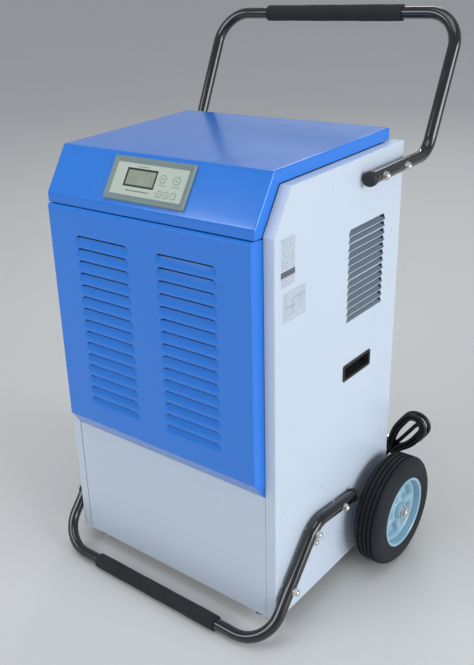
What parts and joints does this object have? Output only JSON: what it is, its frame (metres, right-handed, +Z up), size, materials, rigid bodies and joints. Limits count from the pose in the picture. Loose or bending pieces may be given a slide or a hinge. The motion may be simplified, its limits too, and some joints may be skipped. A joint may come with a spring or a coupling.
{
  "type": "commercial dehumidifier",
  "caption": "Upright sheet-metal dehumidifier on rear wheels, with a louvred intake door, sloped control panel, bent-tube push handle and floor-standing foot tube.",
  "frame": {"origin": "On the floor, under the middle of the whole machine without its mains lead.", "axes": "+Z up; the louvred door faces -Y and the push handle is at +Y; +X is the right-hand side seen from the front camera side, with the wheel axle along X."},
  "size_m": [0.636, 0.6244, 1.0007],
  "materials": {
    "white_paint": "semi-gloss powder coat",
    "blue_paint": "glossy powder coat",
    "black_paint": "gloss black enamel",
    "black_plastic": "moulded satin",
    "foam": "matte closed-cell foam",
    "rubber": "matte rubber",
    "tyre": "ribbed solid tyre",
    "hub_paint": "moulded satin",
    "zinc": "bright zinc plate",
    "galvanised": "galvanised sheet",
    "bezel_plastic": "satin moulding",
    "overlay_film": "satin film",
    "display_glass": "polished display window",
    "copper": "drawn copper tube",
    "aluminium": "finned",
    "circuit_board": "solder mask"
  },
  "bodies": {
    "cabinet": {"right_side_panel": "white_paint", "left_side_panel": "white_paint", "lower_front_panel": "white_paint", "back_panel": "white_paint", "top_lid": "blue_paint", "fan_grille": "black_paint", "compressor": "black_paint", "fan_motor": "black_paint", "handle_tube": "black_paint", "foot_tube": "black_paint", "right_hand_grip": "black_plastic", "left_hand_grip": "black_plastic", "right_handle_cap": "black_plastic", "left_handle_cap": "black_plastic", "right_foot_cap": "black_plastic", "left_foot_cap": "black_plastic", "cord_gland": "black_plastic", "cord_lead": "black_plastic", "cord_hank": "black_plastic", "cord_tail": "black_plastic", "plug": "black_plastic", "handle_foam": "foam", "foot_foam": "foam", "compressor_grommet_1": "rubber", "compressor_grommet_2": "rubber", "compressor_grommet_3": "rubber", "drain_hose": "rubber", "axle": "zinc", "cord_hook": "zinc", "right_handle_studs": "zinc", "left_handle_studs": "zinc", "right_foot_studs": "zinc", "left_foot_studs": "zinc", "base_pan": "galvanised", "mid_deck": "galvanised", "control_shelf": "galvanised", "drain_tray": "galvanised", "fan_bracket": "galvanised", "control_bezel": "bezel_plastic", "control_overlay": "overlay_film", "display": "display_glass", "suction_pipe": "copper", "discharge_pipe": "copper", "liquid_line": "copper", "evaporator": "aluminium", "condenser": "aluminium", "control_board": "circuit_board"},
    "door": {"front_door": "blue_paint", "air_filter": "black_plastic"},
    "fan": {"fan_impeller": "black_plastic"},
    "right_wheel": {"right_tyre": "tyre", "right_hub": "hub_paint"},
    "left_wheel": {"left_tyre": "tyre", "left_hub": "hub_paint"},
    "power_button": {"power_button": "overlay_film"},
    "mode_button": {"mode_button": "overlay_film"},
    "down_button": {"down_button": "overlay_film"},
    "up_button": {"up_button": "overlay_film"},
    "timer_button": {"timer_button": "overlay_film"}
  },
  "joints": [
    {"name": "door_tilt", "type": "hinge", "parent": "cabinet", "child": "door", "pos_m": [0, -0.246, 0.286], "axis": [1, 0, 0], "range_deg": [0, 45]},
    {"name": "fan_spin", "type": "hinge", "parent": "cabinet", "child": "fan", "pos_m": [0, 0.0905, 0.56], "axis": [0, 1, 0], "continuous": true},
    {"name": "right_wheel_spin", "type": "hinge", "parent": "cabinet", "child": "right_wheel", "pos_m": [0.285, 0.0815, 0.108], "axis": [1, 0, 0], "continuous": true},
    {"name": "left_wheel_spin", "type": "hinge", "parent": "cabinet", "child": "left_wheel", "pos_m": [-0.285, 0.0815, 0.108], "axis": [1, 0, 0], "continuous": true},
    {"name": "power_press", "type": "slide", "parent": "cabinet", "child": "power_button", "axis": [0, 0.8312, -0.556], "range_m": [0, 0.0007], "stiffness_N_per_m": 400},
    {"name": "mode_press", "type": "slide", "parent": "cabinet", "child": "mode_button", "axis": [0, 0.8312, -0.556], "range_m": [0, 0.0007], "stiffness_N_per_m": 400},
    {"name": "down_press", "type": "slide", "parent": "cabinet", "child": "down_button", "axis": [0, 0.8312, -0.556], "range_m": [0, 0.0007], "stiffness_N_per_m": 400},
    {"name": "up_press", "type": "slide", "parent": "cabinet", "child": "up_button", "axis": [0, 0.8312, -0.556], "range_m": [0, 0.0007], "stiffness_N_per_m": 400},
    {"name": "timer_press", "type": "slide", "parent": "cabinet", "child": "timer_button", "axis": [0, 0.8312, -0.556], "range_m": [0, 0.0007], "stiffness_N_per_m": 400}
  ]
}
